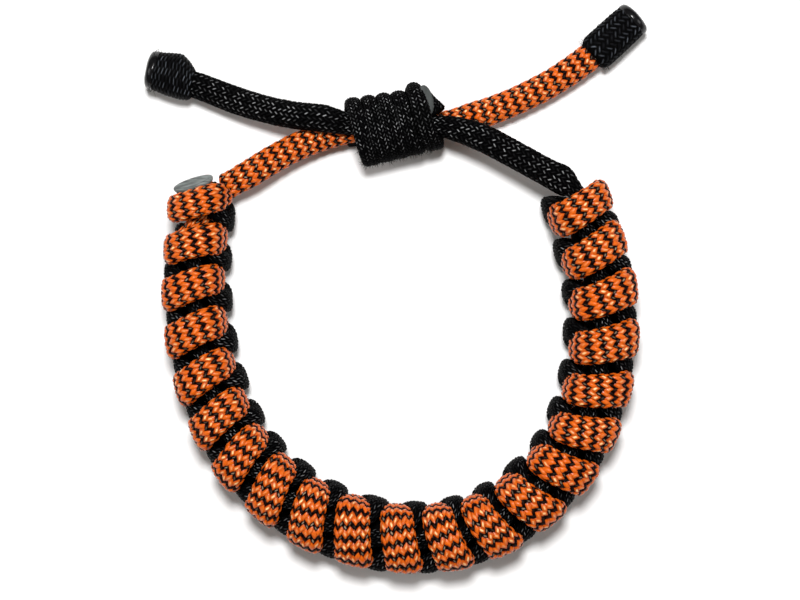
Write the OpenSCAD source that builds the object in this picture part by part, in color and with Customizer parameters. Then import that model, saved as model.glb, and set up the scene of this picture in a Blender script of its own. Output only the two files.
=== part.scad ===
// Rope bracelet of two nylon cords: a C-shaped braid of wraps lies flat, the two loose cords
// that leave its ends cross in a wrapped sliding knot, and each free tail ends in a sleeve.
// Millimetres. Z = 0 is the surface that it lies on, +Y points from the braid to the knot.

/* [Cord] */
// Diameter of the cord where it runs free
cord_d = 4.2; // [3.8:0.1:4.3]
// Diameter of each cord inside the sliding knot
squeezed_d = 2.8; // [2.5:0.1:2.8]

/* [Braid] */
// Height of the middle of the braid above the surface
braid_z = 6.55; // [6.55:0.05:7]
// Roll of the braid, its upper side leaning outwards, in degrees
braid_roll = 8; // [0:1:8]

/* [Sliding knot] */
// Outer width of the knot, across its axis in the plane of the bracelet
knot_width = 11.2; // [11:0.1:11.6]
// Outer height of the knot
knot_height = 10.4; // [10.4:0.1:11]
// Distance from one wrap of the knot to the next
wrap_pitch = 2.5; // [2.45:0.05:2.6]
// Angle of the knot's axis to X, in degrees
knot_turn = 11; // [9:1:12]

/* [End sleeves] */
// Diameter of the black tail's sleeve
black_sleeve_d = 7.4; // [7.2:0.1:7.8]
// Diameter of that sleeve at its tip
black_tip_d = 6.2; // [6:0.1:6.6]
// Length of the sleeve on the black tail
black_sleeve_len = 7.2; // [7:0.1:8]
// Diameter of the orange tail's sleeve
orange_sleeve_d = 6.3; // [6:0.1:6.6]
// Diameter of that sleeve at its tip
orange_tip_d = 6.0; // [5.6:0.1:6.2]
// Length of the sleeve on the orange tail
orange_sleeve_len = 10.2; // [9.8:0.1:11]

/* [Hidden] */

$fn = 64;
sides = 10;
pitch = 7.1;
cord_r = cord_d / 2;
squeezed_r = squeezed_d / 2;
gap = 0.15;

// One wrap of a strand of the braid. The strand climbs the outer edge, crosses over the upper
// side to the inner edge, drops, and runs on through the core under the next wrap.
// Columns: place along the braid in pitches, place outwards, height over the middle,
// half width, half thickness, direction that its flat side faces (0 outwards, 90 up).
WRAP = [
    [-0.25, 0.0, -1.75, 1.4, 1.35, -90],
    [0.14, 1.4, -1.75, 1.35, 1.4, -79],
    [0.39, 3.0, -1.55, 1.3, 1.35, -59],
    [0.50, 4.3, -0.3, 1.35, 1.3, -26],
    [0.52, 4.5, 1.6, 1.8, 1.25, 0],
    [0.49, 4.1, 3.6, 2.5, 1.35, 26],
    [0.40, 2.4, 4.75, 2.8, 1.4, 66],
    [0.25, 0.0, 5.0, 2.8, 1.45, 90],
    [0.10, -2.4, 4.75, 2.8, 1.4, 114],
    [0.01, -4.1, 3.6, 2.4, 1.35, 154],
    [-0.02, -4.5, 1.6, 1.8, 1.25, 180],
    [0.00, -4.3, -0.3, 1.35, 1.3, 206],
    [0.11, -3.0, -1.55, 1.3, 1.35, 239],
    [0.36, -1.4, -1.75, 1.4, 1.4, 259]
];

// The orange strand's way under its first wrap and round it, with the same columns
ORANGE_START = [
    [-0.15, -2.6, -2.1, 1.25, 1.25, -90],
    [-0.04, -0.9, -1.7, 1.3, 1.3, -85],
    [0.06, 0.5, -0.7, 1.3, 1.3, -75],
    [0.15, 1.6, 0.35, 1.3, 1.25, -65],
    [0.25, 2.7, 1.0, 1.35, 1.25, -50],
    [0.38, 3.8, 1.3, 1.4, 1.3, -30],
    [0.50, 4.5, 2.0, 1.6, 1.25, -5],
    [0.50, 4.1, 3.6, 2.2, 1.35, 26],
    [0.42, 2.4, 4.75, 2.4, 1.4, 66],
    [0.29, 0.0, 5.0, 2.45, 1.45, 90],
    [0.15, -2.4, 4.75, 2.4, 1.4, 114],
    [0.06, -4.1, 3.6, 2.1, 1.35, 154],
    [0.03, -4.6, 1.9, 1.5, 1.25, 180]
];

// Its way from the first wrap to the second, where it lies over the black strand and shows
ORANGE_STEP = [
    [0.04, -4.5, 0.6, 1.35, 1.15, 200],
    [0.10, -3.8, -0.3, 1.15, 1.15, 225],
    [0.18, -3.05, -1.0, 1.2, 1.15, 242],
    [0.32, -2.35, -1.25, 1.15, 1.2, 252],
    [0.43, -1.7, -0.75, 1.25, 1.2, 260],
    [0.54, -1.0, 0.4, 1.3, 1.25, 265],
    [0.67, -0.4, 1.5, 1.3, 1.25, 270],
    [0.82, 0.5, 2.2, 1.35, 1.2, 275],
    [1.02, 1.4, 2.2, 1.35, 1.2, 285],
    [1.23, 2.5, 1.9, 1.4, 1.25, 300],
    [1.39, 3.6, 1.8, 1.4, 1.25, 325],
    [1.50, 4.5, 2.1, 1.5, 1.25, 350],
    [1.49, 4.1, 3.6, 2.4, 1.35, 386]
];

// The black strand's first wraps, given like the others and turned over with them: from its
// cut end, which looks up from under the first orange wrap, to the core under the third.
BLACK_FIRST = [
    [-0.16, -0.31, -2.6, 3.4, 1.45, -85],
    [-0.10, -0.16, -2.3, 2.4, 1.25, -85],
    [-0.02, 0.2, -2.2, 1.4, 1.2, -85],
    [0.16, 1.5, -1.95, 1.3, 1.2, -79],
    [0.39, 3.0, -1.85, 1.3, 1.2, -59],
    [0.52, 4.3, -0.25, 1.25, 1.15, -26],
    [0.52, 4.5, 1.6, 1.8, 1.25, 0],
    [0.49, 4.1, 3.6, 2.5, 1.35, 26],
    [0.40, 2.4, 4.75, 2.8, 1.4, 66],
    [0.25, 0.0, 5.0, 2.8, 1.45, 90],
    [0.12, -2.0, 4.85, 2.4, 1.35, 114],
    [0.02, -3.5, 4.1, 1.8, 1.25, 150],
    [-0.02, -4.0, 2.8, 1.5, 1.2, 185],
    [0.08, -3.5, 2.3, 1.3, 1.15, 235],
    [0.34, -1.9, 2.1, 1.35, 1.15, 262],
    [0.60, -0.6, 2.0, 1.3, 1.2, 268],
    [0.76, 0.1, 1.6, 1.35, 1.3, 270],
    [0.90, 0.7, 1.0, 1.3, 1.25, 272],
    [1.00, 1.0, -0.2, 1.3, 1.2, 275],
    [1.10, 1.35, -1.3, 1.3, 1.2, 280],
    [1.22, 2.0, -1.6, 1.35, 1.35, 287],
    [1.39, 3.05, -1.55, 1.3, 1.3, 301],
    [1.50, 4.3, -0.3, 1.4, 1.3, 334],
    [1.52, 4.5, 1.6, 1.5, 1.25, 360],
    [1.49, 4.1, 3.6, 2.4, 1.35, 386],
    [1.40, 2.4, 4.75, 2.75, 1.4, 426],
    [1.25, 0.0, 5.0, 2.8, 1.45, 450],
    [1.12, -2.0, 4.85, 2.4, 1.35, 474],
    [1.03, -3.4, 4.0, 1.8, 1.25, 510],
    [0.99, -3.8, 2.5, 1.5, 1.2, 540],
    [1.09, -3.2, 1.4, 1.35, 1.2, 590],
    [1.24, -2.4, 0.95, 1.35, 1.2, 615],
    [1.41, -1.6, 0.3, 1.3, 1.2, 622],
    [1.57, -0.8, -0.9, 1.35, 1.35, 627]
];

// A melted end beyond the cut of its cord. Columns: distance, added half width and thickness.
CUT_BEAD = [
    [0.12, -0.1, -0.1],
    [0.5, 0.1, 0.1],
    [0.9, -0.2, -0.2]
];

// Middle line of the braid. Columns: x, y, lean of the wraps in degrees. The first and last
// rows only give the direction, and from the second row on there are two wraps to a row.
BRAID_LINE = [
    [-31.5, 34.0, 0],
    [-32.2, 20.6, 0],
    [-33.0, 7.3, 0],
    [-31.2, -6.8, 0],
    [-25.3, -20.5, -2],
    [-14.6, -30.4, -5],
    [0.2, -34.5, -7],
    [14.8, -32.1, -5],
    [26.9, -22.7, -2],
    [32.3, -10.1, 0],
    [33.0, 5.6, 0],
    [29.8, 19.5, 0],
    [24.8, 32.0, 0]
];
wraps = 2 * (len(BRAID_LINE) - 3) + 1;

// Routes of the cords. Columns: x, y, z, half width, half thickness.
// From the middle of the knot to the orange strand's first wrap
ORANGE_LEAD = [
    [0.0, 33.4, 3.85, squeezed_r, squeezed_r],
    [-4.6, 32.9, 3.85, squeezed_r, squeezed_r],
    [-8.6, 32.5, 3.8, 1.5, 1.5],
    [-12.4, 31.8, 3.3, cord_r, cord_r],
    [-16.3, 30.3, 3.8, cord_r, cord_r],
    [-20.5, 28.1, 4.4, cord_r, cord_r],
    [-24.2, 25.8, 4.75, cord_r, 2.0],
    [-26.6, 24.4, 4.7, 1.9, 1.65],
    [-28.8, 23.2, 4.4, 1.4, 1.35]
];
// From the braid to the middle of the knot
BLACK_LEAD = [
    [26.9, 23.9, 8.05, 2.0, 1.8],
    [22.8, 26.4, 7.8, cord_r, cord_r],
    [18.3, 28.9, 7.5, cord_r, cord_r],
    [13.2, 31.5, 7.2, cord_r, cord_r],
    [8.4, 33.0, 6.95, 1.7, 1.65],
    [4.6, 33.5, 6.75, squeezed_r, squeezed_r],
    [0.0, 33.4, 6.75, squeezed_r, squeezed_r]
];
ORANGE_TAIL = [
    [0.0, 33.4, 3.85, squeezed_r, squeezed_r],
    [4.5, 33.9, 3.85, squeezed_r, squeezed_r],
    [8.5, 34.4, 3.6, 1.55, 1.55],
    [12.6, 35.2, 3.3, cord_r, cord_r],
    [16.6, 36.5, 3.2, cord_r, cord_r],
    [21.2, 38.5, 3.1, cord_r, cord_r],
    [26.4, 41.3, 2.9, cord_r, cord_r],
    [32.0, 45.25, orange_sleeve_d / 2, 2.05, 2.05],
    [36.8, 49.65, orange_sleeve_d / 2, 2.05, 2.05]
];
BLACK_TAIL = [
    [0.0, 33.4, 6.75, squeezed_r, squeezed_r],
    [-4.8, 33.3, 6.7, squeezed_r, squeezed_r],
    [-8.8, 33.7, 6.7, 1.6, 1.4],
    [-12.4, 34.5, 6.8, cord_r, cord_r],
    [-17.2, 35.1, 5.8, cord_r, cord_r],
    [-22.1, 36.2, 4.7, cord_r, cord_r],
    [-27.3, 37.85, 3.9, cord_r, cord_r],
    [-33.0, 40.05, black_sleeve_d / 2, 2.0, 2.0],
    [-35.4, 40.67, black_sleeve_d / 2, 2.0, 2.0],
    [-39.2, 41.54, black_sleeve_d / 2, 2.0, 2.0]
];

// Mouths of the sleeves: place along, place sideways, radius, length over which it widens
ORANGE_MOUTH = [0, 0, 2.65, 1.4];
BLACK_MOUTH = [-0.7, 0.95, 2.5, 2.9];

knot_x = -0.3;
knot_y = 33.55;
knot_taper = 0.045;
wrap_half_w = 1.15;
wrap_half_t = 1.0;
sleeve_hole_r = 2.2;

// How far the wraps stand along the knot from an even coil. Columns: angle, distance.
WRAP_SHIFTS = [
    [100, -0.25],
    [300, 0],
    [1400, -0.05],
    [1530, -0.2],
    [1620, 0.75],
    [1710, 0.8],
    [1790, -0.2],
    [1842, 0.3]
];

// Melted end of the knot's cord, beside the raised wrap, in the knot's own frame.
// Columns: x, y, z, half width, half thickness.
KNOT_CUT = [
    [5.7, 2.95, 2.8, 2.0, 0.75],
    [5.7, 2.95, 2.95, 2.2, 0.95],
    [5.7, 2.95, 3.1, 2.0, 0.75]
];

function unit(v) = v / norm(v);
function place(row) = [row[0], row[1], row[2]];
function ease(x) = let(t = min(max(x, 0), 1)) t * t * (3 - 2 * t);

// Value at u of a smooth curve through the rows of a table, whose first row is at u = 0
function curve(rows, u) =
    let(
        last = len(rows) - 1,
        i = min(max(floor(u), 0), last - 1),
        f = u - i,
        p1 = rows[i],
        p2 = rows[i + 1],
        p0 = i > 0 ? rows[i - 1] : 2 * p1 - p2,
        p3 = i < last - 1 ? rows[i + 2] : 2 * p2 - p1
    )
    (2 * p1 + (p2 - p0) * f + (2 * p0 - 5 * p1 + 4 * p2 - p3) * f * f
        + (3 * p1 - p0 - 3 * p2 + p3) * f * f * f) / 2;

// Rows of a table with steps rows for each of its own
function finer(rows, steps) =
    [for (i = [0 : steps * (len(rows) - 1)]) curve(rows, i / steps)];

// A flattened round section at p, square to along, its thickness near the direction outward
function section(p, along, outward, half_w, half_t, hand) =
    let(
        t = unit(along),
        m = unit(outward - (outward * t) * t),
        b = hand * cross(t, m)
    )
    [for (i = [0 : sides - 1]) p + half_w * cos(360 * i / sides) * b + half_t * sin(360 * i / sides) * m];

// Sections at the rows of a route, thickness upwards
function route_sections(rows) =
    let(last = len(rows) - 1)
    [for (i = [0 : last])
        section(place(rows[i]), place(rows[min(i + 1, last)]) - place(rows[max(i - 1, 0)]),
            [0, 0, 1], rows[i][3], rows[i][4], -1)];

// The same route, begun a small gap later, where it meets its lead inside the knot
function begun_later(rows) =
    let(step = gap * unit(place(rows[1]) - place(rows[0])))
    [for (i = [0 : len(rows) - 1]) i > 0 ? rows[i] : rows[0] + [step[0], step[1], step[2], 0, 0]];

// Rows first to last of the wrap number k
function wrap_rows(k, first, last) =
    [for (i = [first : last]) [WRAP[i][0] + k, for (j = [1 : 5]) WRAP[i][j]]];
function whole_wraps(first, last) =
    [for (k = [first : last]) each wrap_rows(k, 0, len(WRAP) - 1)];
function straight(row) = [row[0] * pitch, row[1], row[2]];

// Sections at the rows of a table of wraps, along a braid that is still straight
function wrap_sections(rows) =
    let(last = len(rows) - 1)
    [for (i = [0 : last])
        let(row = rows[i])
        section(straight(row), straight(rows[min(i + 1, last)]) - straight(rows[max(i - 1, 0)]),
            [0, cos(row[5]), sin(row[5])], row[3], row[4], 1)];

// Place on the bent braid of a point p of the straight one. side is -1 for the black strand,
// which is the orange one turned over about the middle line.
function bent(p, side) =
    let(
        n = side * (p[1] * cos(braid_roll) + p[2] * sin(braid_roll)),
        z = side * (p[2] * cos(braid_roll) - p[1] * sin(braid_roll)),
        u0 = 1 + (p[0] / pitch - 0.25) / 2,
        lean = curve(BRAID_LINE, u0)[2],
        u = u0 + n * tan(lean) / pitch / 2,
        c = curve(BRAID_LINE, u),
        d = curve(BRAID_LINE, u + 0.02) - curve(BRAID_LINE, u - 0.02),
        t = unit([d[0], d[1]])
    )
    [c[0] + n * t[1], c[1] - n * t[0], braid_z + z];
function bent_sections(sections, side) = [for (s = sections) [for (p = s) bent(p, side)]];

// Closed skin over a list of sections
module skin(sections) {
    n = len(sections);
    m = len(sections[0]);
    points = [for (s = sections) for (p = s) p];
    walls = [for (i = [0 : n - 2]) for (j = [0 : m - 1])
        let(a = i * m + j, b = i * m + (j + 1) % m)
        each [[a, a + m, b + m], [a, b + m, b]]];
    start = [for (j = [0 : m - 1]) j];
    end = [for (j = [m - 1 : -1 : 0]) (n - 1) * m + j];
    polyhedron(points, concat([start], walls, [end]));
}

// The orange cord from the knot through its lead and its wraps to its hidden end in the core
module orange_strand() {
    lead = route_sections(finer(ORANGE_LEAD, 2));
    rows = concat(ORANGE_START, ORANGE_STEP, wrap_rows(1, 6, 13), whole_wraps(2, wraps - 1));
    color("darkorange")
    skin(concat(lead, bent_sections(wrap_sections(rows), 1)));
}

// The black cord from its cut end through its wraps and its lead to the knot
module black_strand() {
    rows = concat(BLACK_FIRST, whole_wraps(2, wraps - 1), wrap_rows(wraps, 0, 0));
    lead = route_sections(finer(BLACK_LEAD, 2));
    color("#222222")
    skin(concat(bent_sections(wrap_sections(rows), -1), lead));
}

module orange_tail() {
    color("darkorange")
    skin(route_sections(finer(begun_later(ORANGE_TAIL), 2)));
}

module black_tail() {
    color("#222222")
    skin(route_sections(finer(begun_later(BLACK_TAIL), 2)));
}

// How far the fifth wrap of the knot stands out, from 0 to 1, at an angle along the coil, and how
// far the coil's end leans in below its cut
function raised(angle) = ease((angle - 1340) / 80) * ease((1590 - angle) / 80);
function leaning(angle) = ease((angle - 1750) / 80);

// Section of the knot's coil at an angle: 0 is the side away from the braid, 90 is the top
function coil_row(angle) =
    let(
        r = raised(angle),
        e = leaning(angle),
        x = -6.5 + wrap_pitch * angle / 360 + lookup(angle, WRAP_SHIFTS),
        ry = knot_width / 2 - wrap_half_t - knot_taper * x + 0.6 * r - 1.0 * e,
        rz = knot_height / 2 - wrap_half_t + 1.0 * r - 1.3 * e
    )
    [x, ry * cos(angle), rz * sin(angle), wrap_half_w + 0.05 * r, wrap_half_t + 0.4 * r];

module in_knot() {
    translate([knot_x, knot_y, knot_height / 2 + 0.1])
    rotate(knot_turn)
    children();
}

module slide_knot() {
    angles = [-110 : 24 : 1842];
    rows = [for (a = angles) coil_row(a)];
    last = len(rows) - 1;
    color("#1c1c1c")
    in_knot()
    skin([for (i = [0 : last])
        let(row = rows[i], next = rows[min(i + 1, last)], before = rows[max(i - 1, 0)])
        section(place(row), place(next) - place(before), [0, row[1], row[2]], row[3], row[4], -1)]);
}

module knot_cut_end() {
    color("dimgray")
    in_knot()
    skin([for (row = KNOT_CUT) section(place(row), [0, 0, 1], [1, 0, 0], row[3], row[4], -1)]);
}

module braid_cut_end() {
    end = BLACK_FIRST[0];
    away = straight(end) - straight(BLACK_FIRST[1]);
    color("dimgray")
    skin(bent_sections(
        [for (bead = CUT_BEAD)
            section(straight(end) + bead[0] * unit(away), away, [0, cos(end[5]), sin(end[5])],
                end[3] + bead[1], end[4] + bead[2], 1)], -1));
}

// A sleeve closed at its rounded tip, which points along +X. The rows are its rounds, and hole_y is
// how far the tail runs off its middle line.
module sleeve(rows, hole_y) {
    len = rows[len(rows) - 1][0];
    difference() {
        skin([for (row = rows)
            [for (i = [0 : 39]) [row[0], row[1] + row[2] * cos(9 * i), row[2] * sin(9 * i)]]]);
        translate([-2, hole_y, 0])
        rotate([0, 90, 0])
        cylinder(r = sleeve_hole_r, h = len);
    }
}

// Rounds of a sleeve from its mouth to its rounded tip. Columns: place along, place sideways, radius.
function sleeve_rows(mouth, body_r, tip_r, len) = [
    [mouth[0], mouth[1], mouth[2] - 0.15],
    [mouth[0] + 0.15, mouth[1], mouth[2]],
    [mouth[0] + 0.4 * mouth[3], 0.55 * mouth[1], 0.45 * mouth[2] + 0.55 * body_r],
    [mouth[0] + 0.75 * mouth[3], 0.2 * mouth[1], 0.12 * mouth[2] + 0.88 * body_r],
    [mouth[0] + mouth[3], 0, body_r],
    [len - 0.9, 0, tip_r],
    [len - 0.35, 0, tip_r - 0.2],
    [len, 0, tip_r - 0.7]
];

module orange_sleeve() {
    color("#222222")
    translate([31.95, 45.2, orange_sleeve_d / 2 + 0.05])
    rotate(42.5)
    sleeve(sleeve_rows(ORANGE_MOUTH, orange_sleeve_d / 2, orange_tip_d / 2, orange_sleeve_len), 0);
}

module black_sleeve() {
    color("#222222")
    translate([-34.6, 41.3, black_sleeve_d / 2 + 0.05])
    rotate(167)
    sleeve(sleeve_rows(BLACK_MOUTH, black_sleeve_d / 2, black_tip_d / 2, black_sleeve_len), 0.8);
}

orange_strand();
black_strand();
orange_tail();
black_tail();
slide_knot();
knot_cut_end();
braid_cut_end();
orange_sleeve();
black_sleeve();
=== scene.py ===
"""Rope bracelet of two nylon cords: a C-shaped braid, a sliding knot and a sleeve on each tail."""

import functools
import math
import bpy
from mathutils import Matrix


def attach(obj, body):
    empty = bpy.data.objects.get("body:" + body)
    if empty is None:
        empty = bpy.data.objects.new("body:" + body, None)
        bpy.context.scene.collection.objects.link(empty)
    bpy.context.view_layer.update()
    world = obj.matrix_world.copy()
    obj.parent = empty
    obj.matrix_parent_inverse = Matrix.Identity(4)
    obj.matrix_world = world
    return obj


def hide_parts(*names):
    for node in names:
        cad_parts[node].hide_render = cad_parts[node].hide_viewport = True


bl_info = {
    "name": "Rope Bracelet",
    "version": (1, 0, 0),
    "blender": (4, 5, 0),
    "location": "3D View > Sidebar > Bracelet",
    "description": "Builds a braided rope bracelet with a sliding knot, yarn by yarn",
    "category": "Add Mesh",
}

import bmesh
import bpy
import numpy as np
from mathutils import Vector
from mathutils.bvhtree import BVHTree

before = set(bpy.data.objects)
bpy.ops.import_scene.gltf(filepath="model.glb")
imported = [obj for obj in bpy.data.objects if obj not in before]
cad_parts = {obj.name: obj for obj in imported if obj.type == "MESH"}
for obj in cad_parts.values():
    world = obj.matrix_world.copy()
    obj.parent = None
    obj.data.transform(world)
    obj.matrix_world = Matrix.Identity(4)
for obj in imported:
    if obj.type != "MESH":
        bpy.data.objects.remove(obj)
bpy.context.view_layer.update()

# Metres in a millimetre. All tables and sizes below are in millimetres and degrees.
MM = 0.001

# Sizes of the braid, as the construction has them: height of its middle, how far it is rolled
# over, and length along it of one wrap of each strand
BRAID_Z = 6.55
BRAID_ROLL = 8
PITCH = 7.1

# One wrap of each strand. Columns: place along the braid in pitches, place outwards, height over
# the middle, half width, half thickness, direction that its flat side faces.
ORANGE_WRAP = [
    (-0.25, 0.0, -1.75, 1.6, 1.4, -90),
    (0.14, 1.4, -1.75, 1.6, 1.45, -79),
    (0.39, 3.0, -1.55, 1.55, 1.4, -59),
    (0.47, 4.2, -0.3, 1.8, 1.3, -26),
    (0.48, 4.45, 1.6, 2.4, 1.25, 0),
    (0.46, 4.0, 3.5, 2.5, 1.35, 26),
    (0.38, 2.4, 4.75, 2.4, 1.4, 66),
    (0.25, 0.1, 5.0, 2.45, 1.45, 90),
    (0.13, -2.1, 4.75, 2.5, 1.4, 114),
    (0.06, -3.5, 3.5, 2.6, 1.35, 154),
    (0.04, -3.95, 1.6, 2.5, 1.25, 180),
    (0.03, -3.9, -0.3, 1.8, 1.3, 206),
    (0.11, -3.0, -1.55, 1.55, 1.4, 239),
    (0.36, -1.4, -1.75, 1.6, 1.45, 259),
]
BLACK_WRAP = [
    (-0.25, 0.0, -1.75, 1.6, 1.4, -90),
    (0.14, 1.4, -1.75, 1.6, 1.45, -79),
    (0.39, 3.0, -1.55, 1.65, 1.4, -59),
    (0.50, 4.3, -0.3, 1.65, 1.3, -26),
    (0.52, 4.5, 1.6, 1.9, 1.25, 0),
    (0.49, 4.1, 3.6, 2.5, 1.35, 26),
    (0.40, 2.4, 4.75, 2.8, 1.4, 66),
    (0.25, 0.0, 5.0, 2.8, 1.45, 90),
    (0.10, -2.4, 4.75, 2.8, 1.4, 114),
    (0.01, -4.3, 3.6, 2.4, 1.35, 154),
    (-0.02, -4.8, 1.6, 1.9, 1.25, 180),
    (0.00, -4.5, -0.3, 1.65, 1.3, 206),
    (0.11, -3.0, -1.55, 1.65, 1.4, 239),
    (0.36, -1.4, -1.75, 1.6, 1.45, 259),
]
# Rows of both tables that lie in the core of the braid
CORE_ROWS = (0, 1, 2, 12, 13)

# The orange strand's way under its first wrap and round it, and from there over the black strand
ORANGE_START = [
    (-0.15, -2.6, -2.1, 1.25, 1.25, -90),
    (-0.04, -0.9, -1.7, 1.3, 1.3, -85),
    (0.06, 0.5, -0.7, 1.3, 1.3, -75),
    (0.15, 1.6, 0.35, 1.3, 1.25, -65),
    (0.25, 2.7, 1.0, 1.35, 1.25, -50),
    (0.38, 3.8, 1.3, 1.4, 1.3, -30),
    (0.48, 4.1, 2.0, 2.0, 1.25, -5),
    (0.47, 3.75, 3.5, 2.3, 1.35, 26),
    (0.41, 2.25, 4.75, 2.35, 1.4, 66),
    (0.29, 0.0, 5.0, 2.35, 1.45, 90),
    (0.16, -2.25, 4.75, 2.35, 1.4, 114),
    (0.08, -3.7, 3.5, 2.3, 1.35, 154),
    (0.05, -4.15, 1.9, 2.0, 1.25, 180),
]
ORANGE_STEP = [
    (0.04, -4.5, 0.6, 1.35, 1.15, 200),
    (0.10, -3.8, -0.3, 1.15, 1.15, 225),
    (0.18, -3.05, -1.0, 1.2, 1.15, 242),
    (0.32, -2.35, -1.25, 1.15, 1.2, 252),
    (0.43, -1.7, -0.75, 1.25, 1.2, 260),
    (0.54, -1.0, 0.4, 1.3, 1.25, 265),
    (0.67, -0.4, 1.5, 1.3, 1.25, 270),
    (0.82, 0.5, 2.2, 1.35, 1.2, 275),
    (1.02, 1.4, 2.2, 1.35, 1.2, 285),
    (1.23, 2.5, 1.9, 1.4, 1.25, 300),
    (1.39, 3.6, 1.8, 1.4, 1.25, 325),
    (1.48, 4.15, 2.1, 2.1, 1.25, 350),
    (1.46, 3.75, 3.5, 2.45, 1.35, 386),
]

# The black strand's first wraps from its cut end on, turned over with the rest of it
BLACK_FIRST = [
    (-0.14, -0.72, -2.6, 3.5, 1.5, -85),
    (-0.08, -0.57, -2.3, 2.4, 1.25, -85),
    (-0.02, 0.2, -2.2, 1.4, 1.2, -85),
    (0.16, 1.5, -1.95, 1.3, 1.2, -79),
    (0.39, 3.0, -1.85, 1.3, 1.2, -59),
    (0.52, 4.3, -0.25, 1.25, 1.15, -26),
    (0.52, 4.5, 1.6, 1.8, 1.25, 0),
    (0.49, 4.1, 3.6, 2.5, 1.35, 26),
    (0.40, 2.4, 4.75, 2.8, 1.4, 66),
    (0.25, 0.0, 5.0, 2.8, 1.45, 90),
    (0.12, -2.0, 4.85, 2.4, 1.35, 114),
    (0.02, -3.5, 4.1, 1.8, 1.25, 150),
    (-0.02, -4.0, 2.8, 1.5, 1.2, 185),
    (0.08, -3.5, 2.3, 1.3, 1.15, 235),
    (0.34, -1.9, 2.1, 1.35, 1.15, 262),
    (0.60, -0.6, 2.0, 1.3, 1.2, 268),
    (0.76, 0.1, 1.6, 1.35, 1.3, 270),
    (0.90, 0.7, 1.0, 1.3, 1.25, 272),
    (1.00, 1.0, -0.2, 1.3, 1.2, 275),
    (1.10, 1.35, -1.3, 1.3, 1.2, 280),
    (1.22, 2.0, -1.6, 1.35, 1.35, 287),
    (1.39, 3.05, -1.55, 1.3, 1.3, 301),
    (1.50, 4.3, -0.3, 1.4, 1.3, 334),
    (1.52, 4.5, 1.6, 1.5, 1.25, 360),
    (1.49, 4.1, 3.6, 2.4, 1.35, 386),
    (1.40, 2.4, 4.75, 2.75, 1.4, 426),
    (1.25, 0.0, 5.0, 2.8, 1.45, 450),
    (1.12, -2.0, 4.85, 2.4, 1.35, 474),
    (1.03, -3.4, 4.0, 1.8, 1.25, 510),
    (0.99, -3.8, 2.5, 1.5, 1.2, 540),
    (1.09, -3.2, 1.4, 1.35, 1.2, 590),
    (1.24, -2.4, 0.95, 1.35, 1.2, 615),
    (1.41, -1.6, 0.3, 1.3, 1.2, 622),
    (1.57, -0.8, -0.9, 1.35, 1.35, 627),
]

# Middle line of the braid. Columns: x, y, lean of the wraps in degrees, width of the braid as a
# share, and how far back, in rows of this table, and outwards the black strand's wraps lie.
BRAID_LINE = np.array([
    (-31.9, 34.0, -1, 0.94, 0, -0.05),
    (-32.6, 20.5, -3, 0.93, 0, 0),
    (-33.4, 6.8, -5, 0.93, 0, -0.15),
    (-31.5, -7.6, -5, 0.94, 0, -0.35),
    (-25.5, -20.6, -6, 0.97, 0, -0.35),
    (-14.4, -30.15, -6, 1.0, 0, -0.1),
    (0.3, -34.15, -9, 1.0, 0.01, 0.5),
    (14.6, -32.0, -8, 1.0, 0.03, 0.1),
    (26.35, -22.7, -8, 0.99, 0.05, -0.15),
    (32.2, -9.9, -8, 1.0, 0.05, -0.2),
    (33.2, 5.2, -7, 1.01, 0.06, -0.05),
    (29.4, 19.6, -8, 0.97, 0.08, 0.3),
    (24.9, 32.3, -9, 0.94, 0.06, 0.45),
])
# Wraps of each strand, two to a row of that table, the first and the last on its second and its
# last but one
WRAPS = 2 * (len(BRAID_LINE) - 3) + 1

# Routes of the loose cords. Columns: x, y, z, half width, half thickness.
ORANGE_LEAD = [
    (0.0, 33.4, 3.85, 1.4, 1.4),
    (-4.6, 32.9, 3.85, 1.5, 1.4),
    (-8.6, 32.5, 3.8, 1.9, 1.6),
    (-12.4, 31.8, 3.3, 2.24, 2.2),
    (-16.3, 30.3, 3.8, 2.24, 2.2),
    (-20.5, 28.1, 4.4, 2.24, 2.2),
    (-24.2, 25.8, 4.75, 2.25, 2.1),
    (-26.6, 24.45, 4.7, 2.15, 1.7),
    (-28.8, 23.3, 4.4, 2.0, 1.4),
]
BLACK_LEAD = [
    (27.1, 24.1, 8.05, 2.35, 1.8),
    (22.8, 26.4, 7.8, 2.24, 2.2),
    (18.3, 28.9, 7.5, 2.24, 2.2),
    (13.2, 31.5, 7.2, 2.24, 2.2),
    (8.4, 33.0, 6.95, 1.9, 1.7),
    (4.6, 33.5, 6.75, 1.4, 1.4),
    (0.0, 33.4, 6.75, 1.4, 1.4),
]
ORANGE_TAIL = [
    (0.15, 33.4, 3.85, 1.4, 1.4),
    (4.5, 33.9, 3.85, 1.4, 1.4),
    (8.5, 34.4, 3.6, 1.7, 1.6),
    (12.6, 35.2, 3.3, 2.24, 2.2),
    (16.6, 36.5, 3.2, 2.24, 2.2),
    (21.2, 38.5, 3.1, 2.24, 2.2),
    (26.4, 41.3, 2.9, 2.24, 2.2),
    (32.0, 45.25, 3.15, 2.24, 2.2),
    (36.8, 49.65, 3.15, 2.15, 2.15),
]
BLACK_TAIL = [
    (-0.15, 33.4, 6.75, 1.4, 1.4),
    (-4.8, 33.3, 6.7, 1.4, 1.4),
    (-8.8, 33.7, 6.7, 1.8, 1.55),
    (-12.4, 34.5, 6.8, 2.24, 2.2),
    (-17.2, 35.1, 5.8, 2.24, 2.2),
    (-22.1, 36.2, 4.7, 2.24, 2.2),
    (-27.3, 37.85, 3.9, 2.24, 2.2),
    (-33.0, 40.05, 3.7, 2.15, 2.15),
    (-35.4, 40.67, 3.7, 2.15, 2.15),
    (-39.2, 41.54, 3.7, 2.15, 2.15),
]

# The sliding knot: its place and turn, half width and half height over all, and how much narrower
# it gets along its length
KNOT_PLACE = (-0.3, 33.55, 5.3)
KNOT_TURN = 11
KNOT_HALF_W = 5.6
KNOT_HALF_H = 5.2
KNOT_TAPER = 0.045

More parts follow.
